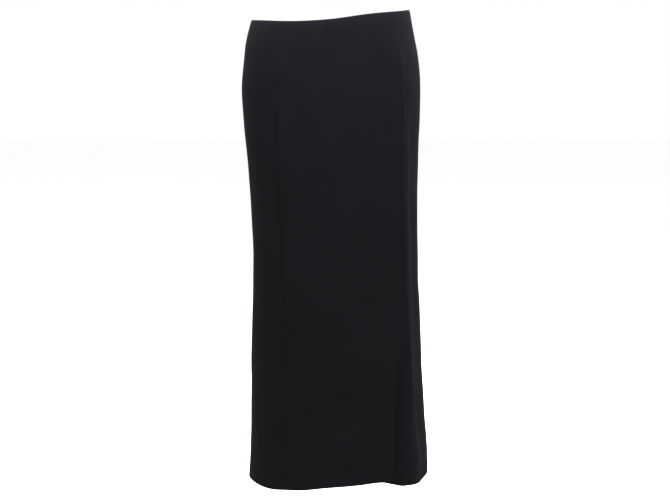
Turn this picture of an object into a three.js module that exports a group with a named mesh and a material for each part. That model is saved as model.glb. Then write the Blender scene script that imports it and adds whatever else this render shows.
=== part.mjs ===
// A full-length column skirt in black stretch crepe, in the hollow shape it has when it is worn.
// A front and a back panel are sewn together at the sides. Their cloth is turned in at the waist and
// turned up at the hem, so it is double there.
// Lengths are millimetres and turns are degrees. +Z is up, the front faces -Y, and +X is to the right
// of someone who looks at the front. The origin is the centre of the waist opening.

import * as THREE from "three";

// Driving dimensions
const LENGTH = 985; // from the waist edge down to the hem
const CLOTH = 1.6; // one layer of the crepe
const SEAM_GAP = 0.3; // between the panels at the side seams
const WAIST_DEPTH = 60; // the allowance turned in at the waist
const HEM_DEPTH = 26; // the allowance turned up at the hem
const LAYER_STEP = 2; // the height over which an allowance's edge ends
const FADE = 110; // a fold grows in, or dies out, over this length

// Colours and finish
const CREPE = { color: 0x17181b, roughness: 0.82, metalness: 0 };

// Sampling
const COLUMNS = 60; // steps across each panel
const ROW_STEP = 50; // the height of a row between the two allowances

// The section at each drop below the waist edge: how far the two side seams, the front and the back lie
// from the upright through the origin, and how square the oval is, where 2 is an ellipse.
const SECTIONS = [
  { drop: 0, left: 164, right: 164, front: 104, back: 104, square: 2.1 },
  { drop: 45, left: 175, right: 172, front: 110, back: 111, square: 2.15 },
  { drop: 90, left: 180.5, right: 181.5, front: 114, back: 118, square: 2.2 },
  { drop: 150, left: 185, right: 188, front: 117, back: 124, square: 2.2 },
  { drop: 220, left: 181, right: 187.5, front: 118, back: 127, square: 2.25 },
  { drop: 320, left: 172.5, right: 184.5, front: 118, back: 125, square: 2.3 },
  { drop: 440, left: 165.5, right: 184.5, front: 117, back: 121, square: 2.35 },
  { drop: 560, left: 165, right: 187, front: 117, back: 119, square: 2.4 },
  { drop: 700, left: 169, right: 194, front: 117, back: 118, square: 2.4 },
  { drop: 840, left: 172, right: 201, front: 118, back: 118, square: 2.4 },
  { drop: 940, left: 175, right: 209.5, front: 119, back: 119, square: 2.35 },
  { drop: 985, left: 176.5, right: 211.5, front: 119, back: 120, square: 2.3 },
];

// The height of the waist edge and of the hem edge, by turn: 0 is the middle of the front, 90 the right
// side seam, 180 the middle of the back, and 270 the left side seam again.
const WAIST_EDGE = [
  { turn: -90, height: -10.3 },
  { turn: -60, height: -9.7 },
  { turn: -25, height: -10.2 },
  { turn: 0, height: -6 },
  { turn: 30, height: 4.6 },
  { turn: 60, height: 9 },
  { turn: 90, height: 10.3 },
  { turn: 120, height: 5 },
  { turn: 150, height: -2.5 },
  { turn: 180, height: -13 },
  { turn: 210, height: -17.5 },
  { turn: 240, height: -15 },
  { turn: 270, height: -10.3 },
];
const HEM_EDGE = [
  { turn: -90, height: -993 },
  { turn: -72, height: -991.5 },
  { turn: -46, height: -996.5 },
  { turn: -26, height: -993 },
  { turn: -8, height: -985 },
  { turn: 12, height: -980 },
  { turn: 28, height: -977 },
  { turn: 38, height: -986 },
  { turn: 46, height: -986.5 },
  { turn: 58, height: -986.5 },
  { turn: 74, height: -980.5 },
  { turn: 90, height: -978 },
  { turn: 135, height: -984 },
  { turn: 180, height: -988 },
  { turn: 225, height: -994 },
  { turn: 270, height: -993 },
];

// Each fold runs down through its stations: its turn round the skirt, how far it stands out of the oval
// (below zero it is a hollow), and its half width in degrees.
const FOLDS = {
  leftHollow: [
    { drop: 150, turn: -38, out: -2.5, width: 4.5 },
    { drop: 430, turn: -40, out: -5, width: 5 },
    { drop: 700, turn: -35, out: -4.5, width: 5.5 },
    { drop: 985, turn: -35, out: -4, width: 6 },
  ],
  leftRidge: [
    { drop: 150, turn: -27, out: 2, width: 5 },
    { drop: 430, turn: -29, out: 3.5, width: 6 },
    { drop: 780, turn: -19, out: 2, width: 8 },
  ],
  rightPlane: [
    { drop: 480, turn: 36, out: -1, width: 11 },
    { drop: 800, turn: 30, out: -2, width: 12 },
    { drop: 985, turn: 25, out: -4, width: 13 },
  ],
  rightHollow: [
    { drop: 400, turn: 50, out: -1, width: 3 },
    { drop: 620, turn: 48, out: -2.5, width: 2.8 },
    { drop: 800, turn: 43, out: -4, width: 2.6 },
    { drop: 985, turn: 38, out: -5, width: 2.5 },
  ],
  rightRidge: [
    { drop: 130, turn: 52.5, out: 2, width: 3.4 },
    { drop: 430, turn: 53.5, out: 3, width: 3.6 },
    { drop: 640, turn: 53, out: 4, width: 4.2 },
    { drop: 800, turn: 47, out: 7.5, width: 4.2 },
    { drop: 985, turn: 44, out: 10.5, width: 5.5 },
  ],
  rightSide: [
    { drop: 130, turn: 64, out: -2, width: 5.5 },
    { drop: 430, turn: 65, out: -3, width: 5.5 },
    { drop: 700, turn: 66, out: -2.5, width: 5 },
    { drop: 985, turn: 68, out: -1, width: 5 },
  ],
  hipDrag: [
    { drop: 100, turn: 43, out: -1, width: 4 },
    { drop: 320, turn: 32, out: -1.5, width: 4 },
    { drop: 600, turn: 11, out: -1.5, width: 5 },
    { drop: 790, turn: 3, out: -1.5, width: 6 },
  ],
  hipDragRidge: [
    { drop: 300, turn: 24, out: 1.5, width: 5 },
    { drop: 600, turn: 3, out: 2, width: 6 },
    { drop: 800, turn: -4, out: 1.5, width: 7 },
  ],
  backLeftHollow: [
    { drop: 230, turn: 222, out: -3, width: 5 },
    { drop: 600, turn: 219, out: -6, width: 6 },
    { drop: 985, turn: 214, out: -9, width: 9 },
  ],
  backLeftRidge: [
    { drop: 260, turn: 234, out: 2, width: 6 },
    { drop: 600, turn: 232, out: 5, width: 7 },
    { drop: 985, turn: 233, out: 8, width: 9 },
  ],
  backMiddleHollow: [
    { drop: 330, turn: 178, out: -2, width: 6 },
    { drop: 620, turn: 176, out: -5, width: 7 },
    { drop: 985, turn: 172, out: -7, width: 9 },
  ],
  backRightHollow: [
    { drop: 250, turn: 136, out: -3, width: 5 },
    { drop: 600, turn: 140, out: -6, width: 6 },
    { drop: 985, turn: 143, out: -8, width: 8 },
  ],
  backRightRidge: [
    { drop: 250, turn: 123, out: 2, width: 6 },
    { drop: 600, turn: 126, out: 4, width: 7 },
    { drop: 985, turn: 122, out: 8, width: 9 },
  ],
};

// One column of a table at any place between its rows, on a smooth curve through them.
function read(table, key, column, place) {
  const last = table.length - 1;
  const at = THREE.MathUtils.clamp(place, table[0][key], table[last][key]);
  let i = 0;
  while (i < last - 1 && table[i + 1][key] < at) i += 1;
  const slope = (k) => {
    const before = table[Math.max(k - 1, 0)];
    const after = table[Math.min(k + 1, last)];
    return (after[column] - before[column]) / (after[key] - before[key]);
  };
  const span = table[i + 1][key] - table[i][key];
  const t = (at - table[i][key]) / span;
  const [t2, t3] = [t * t, t * t * t];
  return (
    (2 * t3 - 3 * t2 + 1) * table[i][column] +
    (t3 - 2 * t2 + t) * span * slope(i) +
    (3 * t2 - 2 * t3) * table[i + 1][column] +
    (t3 - t2) * span * slope(i + 1)
  );
}

// How far all the folds together push the cloth out of the oval.
function foldOut(turn, drop) {
  let out = 0;
  for (const stations of Object.values(FOLDS)) {
    const [first, last] = [stations[0].drop, stations[stations.length - 1].drop];
    if (drop < first || drop > last) continue;
    const grown = THREE.MathUtils.smoothstep(drop, first, first + FADE);
    const dying = last < LENGTH ? THREE.MathUtils.smoothstep(last - drop, 0, FADE) : 1;
    const wide = (turn - read(stations, "drop", "turn", drop)) / read(stations, "drop", "width", drop);
    out += read(stations, "drop", "out", drop) * grown * dying * Math.exp(-0.5 * wide * wide);
  }
  return out;
}

// A point of the cloth's outer face, at a turn round the skirt and a drop below the waist edge.
function clothPoint(turn, drop) {
  const angle = THREE.MathUtils.degToRad(turn);
  const [side, ahead] = [Math.sin(angle), Math.cos(angle)];
  const at = (column) => read(SECTIONS, "drop", column, drop);
  const square = at("square");
  const middle = (at("right") - at("left")) / 2;
  const halfWidth = (at("right") + at("left")) / 2;
  const depth = ahead > 0 ? at("front") : at("back");
  const reach = (Math.abs(side) ** square + Math.abs(ahead) ** square) ** (-1 / square);
  const outward = new THREE.Vector2(
    (Math.sign(side) * Math.abs(side) ** (square - 1)) / halfWidth,
    (-Math.sign(ahead) * Math.abs(ahead) ** (square - 1)) / depth,
  ).setLength(foldOut(turn, drop));
  const waist = read(WAIST_EDGE, "turn", "height", turn);
  const hem = read(HEM_EDGE, "turn", "height", turn);
  return new THREE.Vector3(
    middle + halfWidth * reach * side + outward.x,
    -depth * reach * ahead + outward.y,
    THREE.MathUtils.lerp(waist, hem, drop / LENGTH),
  );
}

// The cloth's outward direction there, from points a little to each side.
function clothNormal(turn, drop) {
  const [turnStep, dropStep] = [0.5, 1];
  const round = clothPoint(turn + turnStep, drop).sub(clothPoint(turn - turnStep, drop));
  const above = clothPoint(turn, Math.max(drop - dropStep, 0));
  const down = clothPoint(turn, Math.min(drop + dropStep, LENGTH)).sub(above);
  return down.cross(round).normalize();
}

// The drops of a panel's rows, with close ones where the allowances end.
function panelDrops() {
  const top = WAIST_DEPTH + LAYER_STEP;
  const bottom = LENGTH - HEM_DEPTH - LAYER_STEP;
  const steps = Math.round((bottom - top) / ROW_STEP);
  const drops = [0, WAIST_DEPTH / 2, WAIST_DEPTH];
  for (let i = 0; i <= steps; i += 1) drops.push(THREE.MathUtils.lerp(top, bottom, i / steps));
  return [...drops, LENGTH - HEM_DEPTH, LENGTH];
}

function layersAt(drop) {
  return drop <= WAIST_DEPTH || drop >= LENGTH - HEM_DEPTH ? 2 : 1;
}

// A panel's closed wall between two turns: an outer face, an inner face, and the edges between them.
function panelGeometry(fromTurn, toTurn) {
  const drops = panelDrops();
  const points = [];
  for (const inside of [0, 1]) {
    for (const drop of drops) {
      for (let c = 0; c <= COLUMNS; c += 1) {
        const turn = THREE.MathUtils.lerp(fromTurn, toTurn, c / COLUMNS);
        const depth = inside * layersAt(drop) * CLOTH;
        const point = clothPoint(turn, drop).addScaledVector(clothNormal(turn, drop), -depth);
        points.push(point.x, point.y, point.z);
      }
    }
  }
  const rows = drops.length - 1;
  const id = (inside, row, column) => (inside * drops.length + row) * (COLUMNS + 1) + column;
  const faces = [];
  const quad = (a, b, c, d) => faces.push(a, b, c, a, c, d);
  for (let r = 0; r < rows; r += 1) {
    for (let c = 0; c < COLUMNS; c += 1) {
      quad(id(0, r, c), id(0, r + 1, c), id(0, r + 1, c + 1), id(0, r, c + 1));
      quad(id(1, r, c), id(1, r, c + 1), id(1, r + 1, c + 1), id(1, r + 1, c));
    }
    quad(id(0, r, 0), id(1, r, 0), id(1, r + 1, 0), id(0, r + 1, 0));
    quad(id(0, r, COLUMNS), id(0, r + 1, COLUMNS), id(1, r + 1, COLUMNS), id(1, r, COLUMNS));
  }
  for (let c = 0; c < COLUMNS; c += 1) {
    quad(id(0, 0, c), id(0, 0, c + 1), id(1, 0, c + 1), id(1, 0, c));
    quad(id(0, rows, c), id(1, rows, c), id(1, rows, c + 1), id(0, rows, c + 1));
  }
  const geometry = new THREE.BufferGeometry();
  geometry.setAttribute("position", new THREE.Float32BufferAttribute(points, 3));
  geometry.setIndex(faces);
  geometry.computeVertexNormals();
  return geometry;
}

function panel(name, fromTurn, toTurn) {
  const mesh = new THREE.Mesh(panelGeometry(fromTurn, toTurn), new THREE.MeshStandardMaterial(CREPE));
  mesh.name = name;
  return mesh;
}

// Each panel stops half the gap short of the side seams, where the oval's depth is the radius of a turn.
const SEAM_TURN = 90;
const SEAM_DEPTH = Math.min(...SECTIONS.map((row) => Math.min(row.front, row.back)));
const SHORT = THREE.MathUtils.radToDeg(SEAM_GAP / 2 / SEAM_DEPTH);

const skirt = new THREE.Group();
skirt.add(
  panel("front_panel", -SEAM_TURN + SHORT, SEAM_TURN - SHORT),
  panel("back_panel", SEAM_TURN + SHORT, 3 * SEAM_TURN - SHORT),
);

export default skirt;
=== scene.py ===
import math

import bpy
import numpy as np
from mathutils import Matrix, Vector


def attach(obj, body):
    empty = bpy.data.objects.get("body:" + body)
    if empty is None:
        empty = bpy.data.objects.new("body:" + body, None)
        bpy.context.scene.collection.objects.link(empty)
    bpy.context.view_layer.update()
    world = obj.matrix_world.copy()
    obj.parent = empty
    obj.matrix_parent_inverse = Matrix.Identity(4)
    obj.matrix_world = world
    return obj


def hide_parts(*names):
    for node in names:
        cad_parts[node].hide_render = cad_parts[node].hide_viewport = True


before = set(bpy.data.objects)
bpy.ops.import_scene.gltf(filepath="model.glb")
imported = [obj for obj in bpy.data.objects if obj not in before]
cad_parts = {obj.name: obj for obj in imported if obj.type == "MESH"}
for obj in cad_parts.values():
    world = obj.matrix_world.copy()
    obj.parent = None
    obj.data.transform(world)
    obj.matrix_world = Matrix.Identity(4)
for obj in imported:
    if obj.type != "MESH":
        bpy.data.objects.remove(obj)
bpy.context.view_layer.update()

# Sizes are in millimetres. A turn is in degrees from the centre front, with the right side seam at 90 and the
# left one at -90 or 270, and a drop is the way down from the waist edge.
MM = 0.001
LENGTH = 985.0
WAIST_DEPTH = 60.0
HEM_DEPTH = 26.0
CLOTH = 0.9
LAYER_GAP = 0.2
BEND = CLOTH + LAYER_GAP / 2
SEAM_TURN = 90.0
SEAM_GAP = 0.3
SEAM_ROLL = 1.0
SEAM_ALLOWANCE = 12.0
ALLOWANCE_TURNS = 12.0
ALLOWANCE_GAP = 0.25
ALLOWANCE_STEP = 6.0
SEAM_RIDGE = 0.25
SEAM_RIDGE_WIDTH = 0.9
STITCH_DROP = LENGTH - HEM_DEPTH + 2
STITCH_PITCH = 3.3
STITCH_LENGTH = 2.7
THREAD = 0.36

# How fine the meshes are, and the drop where widths across a panel are measured.
ROWS = 226
COLUMNS = 176
WAIST_ROWS = 13
HEM_ROWS = 7
BEND_ROWS = 7
ALLOWANCE_ROWS = 160
ALLOWANCE_COLUMNS = 8
STITCH_SIDES = 6
SAMPLES = 4001
WIDTH_DROP = 420.0
FLAT_MAP = "cloth_metres"


def table(columns, rows):
    """A table of numbers with named columns."""
    return np.array(rows, dtype=[(column, float) for column in columns.split()])


# The skirt's sections: half widths to each side, half depths and how square they are.
SECTIONS = table("drop left right front back square", [
    (0, 164, 164, 104, 104, 2.1),
    (45, 175, 172, 110, 111, 2.15),
    (90, 180.5, 181.5, 114, 118, 2.2),
    (150, 185, 188, 117, 124, 2.2),
    (220, 181, 187.5, 118, 127, 2.25),
    (320, 172.5, 184.5, 118, 125, 2.3),
    (440, 165.5, 184.5, 117, 121, 2.35),
    (560, 165, 187, 117, 119, 2.4),
    (700, 169, 194, 117, 118, 2.4),
    (840, 172, 201, 118, 118, 2.4),
    (940, 175, 209.5, 119, 119, 2.35),
    (985, 176.5, 211.5, 119, 120, 2.3),
])

# Heights of the waist edge and of the hem edge round the skirt.
WAIST_EDGE = table("turn height", [
    (-90, -10.3), (-60, -9.7), (-25, -10.2), (0, -6), (30, 4.6), (60, 9), (90, 10.3),
    (120, 5), (150, -2.5), (180, -13), (210, -17.5), (240, -15), (270, -10.3),
])
HEM_EDGE = table("turn height", [
    (-90, -993), (-72, -991.5), (-46, -996.5), (-26, -993), (-8, -985), (12, -980), (28, -977), (38, -986),
    (46, -986.5), (58, -986.5), (74, -980.5), (90, -978), (135, -984), (180, -988), (225, -994), (270, -993),
])

# Folds and creases: where each runs, how far it stands out of the cloth, with hollows below zero, and its
# width in degrees of turn. Each grows in over its fade, and so does the end of one that stops above the hem.
FOLD = "drop turn out width"
FOLD_FADE = 110.0
FOLDS = {
    "left_hollow": [(150, -38, -2.5, 4.5), (430, -40, -5, 5), (700, -35, -4.5, 5.5), (985, -35, -4, 6)],
    "left_ridge": [(150, -27, 2, 5), (430, -29, 3.5, 6), (780, -19, 2, 8)],
    "right_plane": [(480, 36, -1, 11), (800, 30, -2, 12), (985, 25, -4, 13)],
    "right_hollow": [(400, 50, -1, 3), (620, 48, -2.5, 2.8), (800, 43, -4, 2.6), (985, 38, -5, 2.5)],
    "right_ridge": [
        (130, 52.5, 2, 3.4), (430, 53.5, 3, 3.6), (640, 53, 4, 4.2),
        (800, 50, 7.2, 4.6), (985, 49.5, 10, 6.6),
    ],
    "right_side": [(130, 64, -2, 5.5), (430, 65, -3, 5.5), (700, 66, -2.5, 5), (985, 68, -1, 5)],
    "hip_drag": [(100, 43, -1, 4), (320, 32, -1.5, 4), (600, 11, -1.5, 5), (790, 3, -1.5, 6)],
    "hip_drag_ridge": [(300, 24, 1.5, 5), (600, 3, 2, 6), (800, -4, 1.5, 7)],
    "back_left_hollow": [(230, 222, -3, 5), (600, 219, -6, 6), (985, 214, -9, 9)],
    "back_left_ridge": [(260, 234, 2, 6), (600, 232, 5, 7), (985, 233, 8, 9)],
    "back_middle_hollow": [(330, 178, -2, 6), (620, 176, -5, 7), (985, 172, -7, 9)],
    "back_right_hollow": [(250, 136, -3, 5), (600, 140, -6, 6), (985, 143, -8, 8)],
    "back_right_ridge": [(250, 123, 2, 6), (600, 126, 4, 7), (985, 122, 8, 9)],
}
CREASE_FADE = 60.0
CREASES = {
    "right_edge": [
        (20, 50.2, 0.5, 0.8), (172, 50.1, 1.6, 0.65), (483, 51.2, 1.9, 0.65), (600, 52.4, 1.8, 0.7),
        (764, 53.2, 1.6, 0.8), (851, 54.6, 1.4, 0.8), (951, 56.7, 0.7, 1.0), (985, 57.5, 0.4, 1.2),
    ],
    "right_edge_hollow": [
        (140, 48.4, -0.9, 0.7), (425, 49.4, -1.3, 0.7), (560, 50.5, -0.8, 0.8), (700, 51.3, -0.3, 1.0),
    ],
    "right_edge_streak": [(190, 59.5, -0.5, 0.9), (420, 60.5, -0.6, 0.9), (560, 60.5, -0.3, 1.0)],
    "right_trough": [
        (560, 48.8, -0.6, 1.2), (697, 45.8, -1.6, 1.1), (805, 42.2, -3.6, 1.1),
        (870, 40.4, -4.6, 1.1), (958, 38.0, -3.6, 1.2), (985, 37.4, -1.8, 1.7),
    ],
    "hem_lobe_edge": [
        (700, 48.4, 0.8, 1.1), (790, 45.2, 2.6, 1.3), (870, 42.8, 4.0, 1.5), (985, 40.6, 4.2, 1.9),
    ],
    "left_edge": [
        (120, -54.4, 0.5, 0.9), (224, -56.4, 0.9, 0.9), (330, -58.8, 0.7, 0.9), (600, -60, 0.4, 1.0),
    ],
    "left_trough": [
        (110, -35.6, -1.2, 1.5), (262, -39, -3.0, 1.6), (366, -39.2, -3.8, 1.5), (471, -38.3, -3.4, 0.9),
        (560, -36.8, -2.4, 0.8), (640, -35.7, -1.6, 1.1), (791, -34.7, -1.2, 1.4), (985, -34.8, -0.8, 1.8),
    ],
    "left_trough_ridge": [
        (120, -30.4, 0.9, 2.0), (261, -30.6, 1.1, 2.0), (396, -31.9, 1.2, 2.2),
        (480, -27.0, 1.2, 2.4), (575, -25.1, 0.9, 2.6), (720, -21.5, 0.5, 3.0),
    ],
    "waist_crease": [
        (-60, -1.2, -1.6, 0.6), (6, -1.5, -2.0, 0.5), (41, -4.3, -2.4, 0.55),
        (71, -7.8, -2.0, 0.6), (160, -11.5, -0.6, 1.2),
    ],
    "waist_crease_ridge": [
        (-60, 0.8, 0.5, 1.1), (41, -2.4, 0.9, 1.1), (71, -6.0, 0.8, 1.2), (150, -9.4, 0.3, 1.6),
    ],
    "hip_crease": [
        (99, 41.6, -1.0, 0.75), (175, 37, -1.7, 0.75), (256, 31.2, -1.7, 0.75), (317, 27.7, -1.6, 0.8),
        (378, 23.9, -1.3, 1.0), (450, 19.4, -0.9, 1.2), (585, 10.8, -0.6, 1.8), (732, 0.9, -0.4, 2.2),
    ],
    "hip_crease_ridge": [
        (120, 38.9, 0.4, 1.1), (256, 29.6, 0.5, 1.2), (378, 21.6, 0.6, 1.5), (640, 3.0, 0.4, 2.6),
    ],
    "back_left_crease": [(160, 214, -0.9, 1.2), (420, 210, -1.1, 1.2), (640, 204, -0.8, 1.8)],
    "back_right_crease": [(90, 150, -0.8, 1.1), (300, 157, -1.0, 1.2), (560, 166, -0.6, 2.0)],
    "back_right_edge": [(130, 127, 0.6, 1.0), (420, 126, 0.8, 1.0), (760, 127, 0.5, 1.3)],
    "back_left_edge": [(170, 236, 0.5, 1.0), (480, 235, 0.7, 1.1), (700, 236, 0.4, 1.3)],
}
RELIEF = [(table(FOLD, rows), FOLD_FADE) for rows in FOLDS.values()]
RELIEF += [(table(FOLD, rows), CREASE_FADE) for rows in CREASES.values()]

# Darts at the waist: the turns of each one's top and tip, and its length. Each is a groove in a swell.
DARTS = table("top tip length", [(-46.3, -41.2, 92), (38.0, 34.6, 96), (147, 151, 128), (213, 209, 128)])
DART_FADE = 45.0
DART_RELIEF = table("out width", [(-1.1, 0.34), (0.35, 1.7)])

# The relief of the layers: the roll and the lean of the waist edge, with their heights, the steps at the
# edges of the two allowances, with half their heights, and the dent of the hem's stitches, with its width.
EDGE_ROLL = -0.8
EDGE_ROLL_HEIGHT = 9.0
EDGE_LEAN = -4.0
EDGE_LEAN_HEIGHT = 24.0
WAIST_STEP = 0.35
WAIST_STEP_REACH = 5.0
HEM_STEP = 0.6
HEM_STEP_REACH = 2.5
STITCH_DENT = -0.7
STITCH_DENT_WIDTH = 1.5

# The waver of hanging cloth is a sum of waves. Each goes up to MOST_ROUND times round the skirt, divided by
# a draw between the ROUND_SHARES. Its length down the skirt and its height are drawn too. The top is calmer.
WAVER_SEED = 31
WAVES = 26
MOST_ROUND = 24
ROUND_SHARES = (1, 3.2)
WAVE_DOWN = (70, 300)
WAVE_HEIGHT = (0.05, 0.17)
CALM_SHARE = 0.35
CALM_DEPTH = 120.0

# Where a panel's columns and rows lie closer together: how much more of them, and over what reach.
CLOSE_COLUMNS = table("turn more", [
    (54.0, 4.5), (-37.5, 2.8), (44.0, 1.8), (36.0, 2.2), (-44.0, 1.2), (28, 2.4), (-56.5, 1.4), (-4, 1.6),
    (149, 1.6), (211, 1.6), (126.5, 1.2), (235.5, 1.2),
])
CLOSE_COLUMNS_REACH = 3.2
SEAM_COLUMNS_MORE = 9
SEAM_COLUMNS_REACH = 1.6
CLOSE_ROWS = table("drop more reach", [(WAIST_DEPTH, 3, 4), (STITCH_DROP, 9, 3)])
TOP_ROWS_MORE = 2
TOP_ROWS_END = (20, 30)

# One stitch, from end to end: shares of its length, heights over the cloth and shares of the thread's width.
STITCH = table("along lift width", [
    (-0.5, -0.3, 0.6), (-0.42, -0.05, 0.85), (-0.22, 0.12, 1.0),
    (0.22, 0.12, 1.0), (0.42, -0.05, 0.85), (0.5, -0.3, 0.6),
])


def smooth(value, low, high):
    """A smooth step, from 0 at low to 1 at high."""
    t = np.clip((value - low) / (high - low), 0, 1)
    return t * t * (3 - 2 * t)


def bell(away, width):
    """A bell curve, 1 in the middle."""
    return np.exp(-0.5 * (away / width) ** 2)


def read(rows, key, column, place):
    """A smooth curve through one column of a table."""
    keys = rows[key]
    values = rows[column]
    at = np.clip(place, keys[0], keys[-1])
    i = np.clip(np.searchsorted(keys, at, side="left") - 1, 0, len(keys) - 2)
    low = np.maximum(np.arange(len(keys)) - 1, 0)
    high = np.minimum(np.arange(len(keys)) + 1, len(keys) - 1)
    slope = (values[high] - values[low]) / (keys[high] - keys[low])
    span = keys[i + 1] - keys[i]
    t = (at - keys[i]) / span
    start = (2 * t**3 - 3 * t**2 + 1) * values[i] + (t**3 - 2 * t**2 + t) * span * slope[i]
    end = (3 * t**2 - 2 * t**3) * values[i + 1] + (t**3 - t**2) * span * slope[i + 1]
    return start + end


def fold_out(fold, turn, drop, fade):
    """How far one fold or crease moves the cloth out."""
    first = fold["drop"][0]
    last = fold["drop"][-1]
    share = smooth(drop, first, first + fade)
    if last < LENGTH:
        share = share * smooth(last - drop, 0, fade)
    away = turn - read(fold, "drop", "turn", drop)
    out = read(fold, "drop", "out", drop) * share * bell(away, read(fold, "drop", "width", drop))
    return np.where((drop < first) | (drop > last), 0, out)


def dart_out(turn, drop):
    """The stitched line of each dart: a fine groove with the cloth swelling beside it."""
    out = np.zeros(np.broadcast(turn, drop).shape)
    for dart in DARTS:
        line = dart["top"] + (dart["tip"] - dart["top"]) * drop / dart["length"]
        strength = smooth(dart["length"] - drop, 0, DART_FADE)
        for relief in DART_RELIEF:
            out += strength * relief["out"] * bell(turn - line, relief["width"])
    return out


def layers_out(turn, drop):
    """The pressed waist edge leans in, and the edges of the turned-in waist and of the hem print through."""
    hem_top = LENGTH - HEM_DEPTH
    roll = EDGE_ROLL * np.clip(1 - drop / EDGE_ROLL_HEIGHT, 0, 1) ** 2
    lean = EDGE_LEAN * np.clip(1 - drop / EDGE_LEAN_HEIGHT, 0, 1) ** 2 * np.abs(np.cos(np.radians(turn)))
    waist = WAIST_STEP * (1 - smooth(drop, WAIST_DEPTH - WAIST_STEP_REACH, WAIST_DEPTH + WAIST_STEP_REACH))
    hem = HEM_STEP * smooth(drop, hem_top - HEM_STEP_REACH, hem_top + HEM_STEP_REACH)
    return roll + lean + waist + hem + STITCH_DENT * bell(drop - STITCH_DROP, STITCH_DENT_WIDTH)


def waver_out(turn, drop):
    """The slight waver of hanging cloth, in whole waves round the skirt."""
    draw = np.random.default_rng(WAVER_SEED)
    out = np.zeros(np.broadcast(turn, drop).shape)
    for _ in range(WAVES):
        round_waves = round(MOST_ROUND * draw.uniform(-1, 1) / draw.uniform(*ROUND_SHARES))
        down = draw.uniform(-1, 1) / draw.uniform(*WAVE_DOWN)
        phase = draw.uniform(0, 2 * math.pi)
        height = draw.uniform(*WAVE_HEIGHT)
        out += height * np.sin(2 * math.pi * (round_waves * turn / 360 + down * drop) + phase)
    return out * (CALM_SHARE + (1 - CALM_SHARE) * smooth(drop, 0, CALM_DEPTH))


def plain_section(turn, drop):
    """The section without folds: a point of it and its outward normal."""
    side = np.sin(np.radians(turn))
    ahead = np.cos(np.radians(turn))
    square = read(SECTIONS, "drop", "square", drop)
    left = read(SECTIONS, "drop", "left", drop)
    right = read(SECTIONS, "drop", "right", drop)
    front = read(SECTIONS, "drop", "front", drop)
    back = read(SECTIONS, "drop", "back", drop)
    depth = np.where(ahead > 0, front, back)
    half = (right + left) / 2
    reach = (np.abs(side) ** square + np.abs(ahead) ** square) ** (-1 / square)
    nx = np.sign(side) * np.abs(side) ** (square - 1) / half
    ny = -np.sign(ahead) * np.abs(ahead) ** (square - 1) / depth
    size = np.hypot(nx, ny)
    return (right - left) / 2 + half * reach * side, -depth * reach * ahead, nx / size, ny / size


def skirt_point(turn, drop, inward=0.0):
    """Points of the skirt's cloth in millimetres, set inward by a depth."""
    turn, drop, inward = np.broadcast_arrays(np.asarray(turn, float), np.asarray(drop, float), inward)
    x, y, nx, ny = plain_section(turn, drop)
    out = dart_out(turn, drop) + layers_out(turn, drop) + waver_out(turn, drop) - inward
    for fold, fade in RELIEF:
        out = out + fold_out(fold, turn, drop, fade)
    top = read(WAIST_EDGE, "turn", "height", turn)
    bottom = read(HEM_EDGE, "turn", "height", turn)
    return np.stack([x + nx * out, y + ny * out, top + (bottom - top) * drop / LENGTH], axis=-1)


def running_length(points):
    """The distance along a line of points, from its first."""
    return np.concatenate([[0], np.cumsum(np.hypot(*np.diff(points, axis=0).T))])


def width_from(first, last):
    """Distances along the cloth from the first turn, with the turns that they belong to."""
    turns = np.linspace(first, last, SAMPLES)
    return turns, running_length(skirt_point(turns, WIDTH_DROP)[:, :2])


def panel_turns(first, last):
    """Columns from seam to seam, closer together at the seams, the darts and the crisp creases."""
    turns, run = width_from(first, last)
    inner = np.interp([SEAM_GAP / 2, run[-1] - SEAM_GAP / 2], run, turns)
    density = np.full(len(turns), 1.0)
    for line in CLOSE_COLUMNS:
        density += line["more"] * bell(turns - line["turn"], CLOSE_COLUMNS_REACH)
    for end in (0, run[-1]):
        density += SEAM_COLUMNS_MORE * bell(run - end, SEAM_COLUMNS_REACH)
    inside = (turns >= min(inner)) & (turns <= max(inner))
    weight = np.concatenate([[0], np.cumsum((density[1:] + density[:-1]) / 2 * np.diff(run))])
    weight = weight[inside]
    return np.interp(np.linspace(weight[0], weight[-1], COLUMNS), weight, turns[inside])


def panel_drops():
    """Rows down the outside, closer together at the waist edge, its allowance's edge and the stitches."""
    drops = np.linspace(BEND, LENGTH - BEND, 2 * SAMPLES - 1)
    density = 1 + TOP_ROWS_MORE * (1 - smooth(drops, *TOP_ROWS_END))
    for line in CLOSE_ROWS:
        density += line["more"] * bell(drops - line["drop"], line["reach"])
    weight = np.cumsum(density)
    return np.interp(np.linspace(weight[0], weight[-1], ROWS), weight, drops)


def cloth_path():
    """Drops and depths of the right and the wrong side of the cloth, from the waist allowance's edge,
    over the waist, down the outside, round the hem and up its allowance."""
    angles = np.radians(np.linspace(0, 180, BEND_ROWS + 2)[1:-1])
    right, wrong = [], []
    for drop in np.linspace(WAIST_DEPTH, BEND, WAIST_ROWS):
        right.append((drop, 2 * BEND))
        wrong.append((drop, CLOTH + LAYER_GAP))
    for a in angles:
        right.append((BEND - BEND * math.sin(a), BEND + BEND * math.cos(a)))
        wrong.append((BEND - LAYER_GAP / 2 * math.sin(a), BEND + LAYER_GAP / 2 * math.cos(a)))
    for drop in panel_drops():
        right.append((drop, 0.0))
        wrong.append((drop, CLOTH))
    for a in angles:
        right.append((LENGTH - BEND + BEND * math.sin(a), BEND - BEND * math.cos(a)))
        wrong.append((LENGTH - BEND + LAYER_GAP / 2 * math.sin(a), BEND - LAYER_GAP / 2 * math.cos(a)))
    for drop in np.linspace(LENGTH - BEND, LENGTH - HEM_DEPTH, HEM_ROWS):
        right.append((drop, 2 * BEND))
        wrong.append((drop, CLOTH + LAYER_GAP))
    return np.array(right), np.array(wrong)


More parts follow.
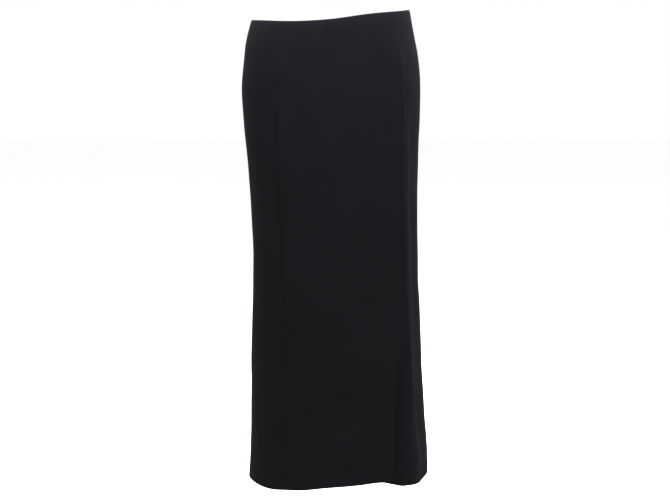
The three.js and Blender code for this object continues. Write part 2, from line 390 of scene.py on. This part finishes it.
def cloth_piece(name, points, faces, across, along):
    """A smooth mesh of points in millimetres, with its places on the flat cloth, in metres, as the UV map."""
    mesh = bpy.data.meshes.new(name)
    mesh.from_pydata((points.reshape(-1, 3) * MM).tolist(), [], faces)
    flat = np.stack(np.broadcast_arrays(across, along), -1).reshape(-1, 2) * MM
    corners = np.zeros(len(mesh.loops), int)
    mesh.loops.foreach_get("vertex_index", corners)
    mesh.uv_layers.new(name=FLAT_MAP).data.foreach_set("uv", flat[corners].ravel())
    mesh.polygons.foreach_set("use_smooth", [True] * len(mesh.polygons))
    mesh.update()
    piece = bpy.data.objects.new(name, mesh)
    bpy.context.scene.collection.objects.link(piece)
    return piece


def shell(name, right, wrong, across, along):
    """A closed thin mesh between two grids of points, its right side and its wrong side."""
    rows, columns = right.shape[:2]
    count = rows * columns
    index = np.arange(count).reshape(rows, columns)
    a, b = index[:-1, :-1].ravel(), index[:-1, 1:].ravel()
    c, d = index[1:, 1:].ravel(), index[1:, :-1].ravel()
    loop = np.concatenate([index[0, :-1], index[:-1, -1], index[-1, :0:-1], index[:0:-1, 0]])
    following = np.roll(loop, -1)
    faces = np.concatenate([
        np.stack([a, d, c, b], 1),
        np.stack([a, b, c, d], 1) + count,
        np.stack([loop, following, following + count, loop + count], 1),
    ])
    across, along = np.broadcast_arrays(across, along)
    piece = cloth_piece(name, np.stack([right, wrong]), faces.tolist(), [across] * 2, [along] * 2)
    piece.data.set_sharp_from_angle(angle=math.radians(50))
    return piece


def roll_in(run):
    """How far the panel's edge turns in towards the seam, by distance from it."""
    near = np.clip(SEAM_ROLL - run, 0, SEAM_ROLL)
    return SEAM_ROLL - np.sqrt(SEAM_ROLL**2 - near**2)


def panel(name, first, last):
    """One panel of cloth, from seam to seam, with its turned edges at the waist and at the hem."""
    turns = panel_turns(first, last)
    fine, run = width_from(first, last)
    at = np.interp(turns, fine, run)
    edge = roll_in(np.minimum(at, run[-1] - at) - SEAM_GAP / 2)
    right, wrong = cloth_path()
    outer = skirt_point(turns, right[:, :1], right[:, 1:] + edge)
    inner = skirt_point(turns, wrong[:, :1], wrong[:, 1:] + edge)
    return shell(name, outer, inner, at, -running_length(right)[:, None])


def seam_allowance(name, seam):
    """The two panels' allowances, pressed open behind a side seam."""
    across = np.linspace(-SEAM_ALLOWANCE, SEAM_ALLOWANCE, 2 * ALLOWANCE_COLUMNS + 1)
    before = np.interp(-across[:ALLOWANCE_COLUMNS + 1], *width_from(seam, seam - ALLOWANCE_TURNS)[::-1])
    after = np.interp(across[ALLOWANCE_COLUMNS + 1:], *width_from(seam, seam + ALLOWANCE_TURNS)[::-1])
    turns = np.concatenate([before, after])
    turns = np.where(turns < -SEAM_TURN, turns + 360, turns)
    drops = np.linspace(BEND + 1, LENGTH - BEND - 1, ALLOWANCE_ROWS)[:, None]
    hem_top = LENGTH - HEM_DEPTH
    over = 1 - smooth(drops, WAIST_DEPTH, WAIST_DEPTH + ALLOWANCE_STEP)
    over = over + smooth(drops, hem_top - ALLOWANCE_STEP, hem_top)
    depth = CLOTH + ALLOWANCE_GAP + (CLOTH + LAYER_GAP) * over + SEAM_RIDGE * bell(across, SEAM_RIDGE_WIDTH)
    outer = skirt_point(turns, drops, depth)
    inner = skirt_point(turns, drops, depth + CLOTH)
    return shell(name, outer, inner, across, -drops)


def stitch_row(name, first, last):
    """The hem's lockstitches: short threads that lie on the cloth and dip into it at both ends."""
    fine = np.linspace(first, last, 2 * SAMPLES - 1)
    run = running_length(skirt_point(fine, STITCH_DROP)[:, :2])
    count = int(run[-1] / STITCH_PITCH)
    centres = (np.arange(count) + 0.5) * run[-1] / count
    places = centres[:, None] + STITCH["along"] * STITCH_LENGTH
    turns = np.interp(places, run, fine)[:, :, None]
    angles = np.radians(np.arange(STITCH_SIDES) * 360 / STITCH_SIDES)
    radius = STITCH["width"][:, None] * THREAD / 2
    drops = STITCH_DROP + radius * np.sin(angles)
    inward = -STITCH["lift"][:, None] - radius * np.cos(angles)
    points = skirt_point(turns, drops, inward)

    rings = len(STITCH)
    ring, side = np.meshgrid(np.arange(rings - 1), np.arange(STITCH_SIDES), indexing="ij")
    ring = ring.ravel() * STITCH_SIDES
    side = side.ravel()
    after = (side + 1) % STITCH_SIDES
    quads = np.stack([ring + side, ring + after, ring + STITCH_SIDES + after, ring + STITCH_SIDES + side], 1)
    starts = np.arange(count)[:, None] * rings * STITCH_SIDES
    ends = np.arange(STITCH_SIDES)
    faces = (starts[:, :, None] + quads).reshape(-1, 4).tolist()
    faces += (starts + ends[::-1]).tolist()
    faces += (starts + (rings - 1) * STITCH_SIDES + ends).tolist()
    return cloth_piece(name, points, faces, places[:, :, None], drops)


def crepe_material(name, base, sheen):
    """Matt stretch crepe: a fine grain over a plain weave, with slight changes of colour and gloss."""
    material = bpy.data.materials.new(name)
    material.use_nodes = True
    nodes = material.node_tree.nodes
    links = material.node_tree.links
    shader = nodes["Principled BSDF"]
    uv = nodes.new("ShaderNodeUVMap")
    uv.uv_map = FLAT_MAP

    def noise(scale, detail, rough):
        node = nodes.new("ShaderNodeTexNoise")
        node.inputs["Scale"].default_value = scale
        node.inputs["Detail"].default_value = detail
        node.inputs["Roughness"].default_value = rough
        links.new(uv.outputs["UV"], node.inputs["Vector"])
        return node.outputs["Fac"]

    def threads(direction, scale):
        node = nodes.new("ShaderNodeTexWave")
        node.bands_direction = direction
        node.inputs["Scale"].default_value = scale
        node.inputs["Distortion"].default_value = 1.2
        node.inputs["Detail"].default_value = 1.0
        node.inputs["Detail Scale"].default_value = 3.0
        links.new(uv.outputs["UV"], node.inputs["Vector"])
        return node.outputs["Fac"]

    def combine(operation, first, second):
        node = nodes.new("ShaderNodeMath")
        node.operation = operation
        for socket, value in zip(node.inputs, (first, second)):
            if isinstance(value, float):
                socket.default_value = value
            else:
                links.new(value, socket)
        return node.outputs[0]

    def spread(source, low, high):
        node = nodes.new("ShaderNodeMapRange")
        links.new(source, node.inputs["Value"])
        node.inputs["From Min"].default_value = 0.3
        node.inputs["From Max"].default_value = 0.7
        node.inputs["To Min"].default_value = low
        node.inputs["To Max"].default_value = high
        return node.outputs["Result"]

    mottle = noise(scale=9.0, detail=3.0, rough=0.6)
    grain = noise(scale=2400.0, detail=3.0, rough=0.7)
    pebble = noise(scale=900.0, detail=2.0, rough=0.55)
    weave = combine("MULTIPLY", threads("X", scale=620.0), threads("Y", scale=690.0))

    tone = combine("MULTIPLY", spread(mottle, low=0.93, high=1.07), spread(grain, low=0.85, high=1.15))
    colour = nodes.new("ShaderNodeVectorMath")
    colour.operation = "SCALE"
    colour.inputs[0].default_value = base
    links.new(tone, colour.inputs["Scale"])
    links.new(colour.outputs["Vector"], shader.inputs["Base Color"])
    links.new(spread(pebble, low=0.86, high=0.96), shader.inputs["Roughness"])

    height = combine("ADD", combine("MULTIPLY", weave, 0.4), combine("MULTIPLY", pebble, 0.9))
    height = combine("ADD", height, combine("MULTIPLY", grain, 0.5))
    bump = nodes.new("ShaderNodeBump")
    bump.inputs["Strength"].default_value = 0.45
    bump.inputs["Distance"].default_value = 0.00035
    links.new(height, bump.inputs["Height"])
    links.new(bump.outputs["Normal"], shader.inputs["Normal"])

    shader.inputs["Specular IOR Level"].default_value = 0.042
    shader.inputs["Sheen Weight"].default_value = sheen
    shader.inputs["Sheen Roughness"].default_value = 0.45
    shader.inputs["Sheen Tint"].default_value = (0.92, 0.95, 1.0, 1.0)
    return material


def pale_floor(reach, drop):
    """A wide matt floor, some metres below the waist."""
    mesh = bpy.data.meshes.new("floor")
    corners = [(-reach, -reach, 0), (reach, -reach, 0), (reach, reach, 0), (-reach, reach, 0)]
    mesh.from_pydata(corners, [], [(0, 1, 2, 3)])
    floor = bpy.data.objects.new("floor", mesh)
    floor.location = (0, 0, -drop)
    material = bpy.data.materials.new("pale_floor")
    material.use_nodes = True
    shader = material.node_tree.nodes["Principled BSDF"]
    shader.inputs["Base Color"].default_value = (0.97, 0.97, 0.97, 1.0)
    shader.inputs["Roughness"].default_value = 0.9
    mesh.materials.append(material)
    bpy.context.scene.collection.objects.link(floor)
    return floor


def area_light(name, energy, colour, size, place, aim):
    """A soft light that the camera doesn't see, with its power in watts and its places in metres."""
    data = bpy.data.lights.new(name, "AREA")
    data.energy = energy
    data.shape = "RECTANGLE"
    data.size, data.size_y = size
    data.color = colour
    lamp = bpy.data.objects.new(name, data)
    lamp.location = place
    lamp.visible_camera = False
    lamp.rotation_euler = (Vector(aim) - Vector(place)).to_track_quat("-Z", "Y").to_euler()
    bpy.context.scene.collection.objects.link(lamp)


crepe = crepe_material("crepe", (0.0067, 0.0065, 0.0069), 0.005)

front = panel("front_cloth", -SEAM_TURN, SEAM_TURN)
back = panel("back_cloth", SEAM_TURN, 360 - SEAM_TURN)
right_seam = seam_allowance("right_seam_allowance", SEAM_TURN)
left_seam = seam_allowance("left_seam_allowance", -SEAM_TURN)
front_stitches = stitch_row("front_hem_stitches", -SEAM_TURN, SEAM_TURN)
back_stitches = stitch_row("back_hem_stitches", SEAM_TURN, 360 - SEAM_TURN)
for piece in (front, back, right_seam, left_seam, front_stitches, back_stitches):
    piece.data.materials.append(crepe)
    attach(piece, "root")
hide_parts("front_panel")
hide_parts("back_panel")

floor = pale_floor(reach=9, drop=1.12)

# White surroundings and soft lights. The gamma deepens the dark tones, so that the cloth's own colour can
# stay near the record's. Each light has its power, colour, size, place and aim.
world = bpy.data.worlds.new("studio")
world.use_nodes = True
world.node_tree.nodes["Background"].inputs["Color"].default_value = (1.0, 1.0, 1.0, 1.0)
world.node_tree.nodes["Background"].inputs["Strength"].default_value = 1.0
bpy.context.scene.world = world
bpy.context.scene.view_settings.view_transform = "Standard"
bpy.context.scene.view_settings.gamma = 0.8
area_light("key", 52.0, (0.85, 0.89, 1.0), (1.2, 0.6), (0.18, -1.1, 0.6), (0.03, -0.1, -0.25))
area_light("top", 37.0, (0.68, 0.81, 1.0), (0.8, 0.5), (0.0, -0.3, 0.9), (0.0, -0.12, -0.1))
area_light("right_side", 55.0, (0.81, 0.88, 1.0), (0.8, 1.0), (1.0, 0.4, 0.6), (0.1, 0.0, -0.15))
area_light("left_side", 21.0, (0.81, 0.88, 1.0), (0.7, 0.6), (-0.72, 0.13, 0.5), (-0.1, 0.0, 0.05))
area_light("back", 38.0, (0.81, 0.88, 1.0), (1.2, 0.8), (-0.35, 1.3, 0.8), (0.0, 0.1, -0.3))

# The camera stands at the photograph's angle: level with the waist edge and aimed at the skirt's middle.
CAMERA_DISTANCE = 3.36954
CAMERA_RISE = math.radians(9.5)
AIM = Vector((0.009585, 0.0, -0.4952))
camera_data = bpy.data.cameras.new("camera")
camera_data.lens = 85.0
camera_data.sensor_width = 36.0
camera = bpy.data.objects.new("camera", camera_data)
camera.location = AIM + CAMERA_DISTANCE * Vector((0, -math.cos(CAMERA_RISE), math.sin(CAMERA_RISE)))
camera.rotation_euler = (AIM - camera.location).to_track_quat("-Z", "Y").to_euler()
bpy.context.scene.collection.objects.link(camera)
bpy.context.scene.camera = camera

bpy.context.view_layer.update()
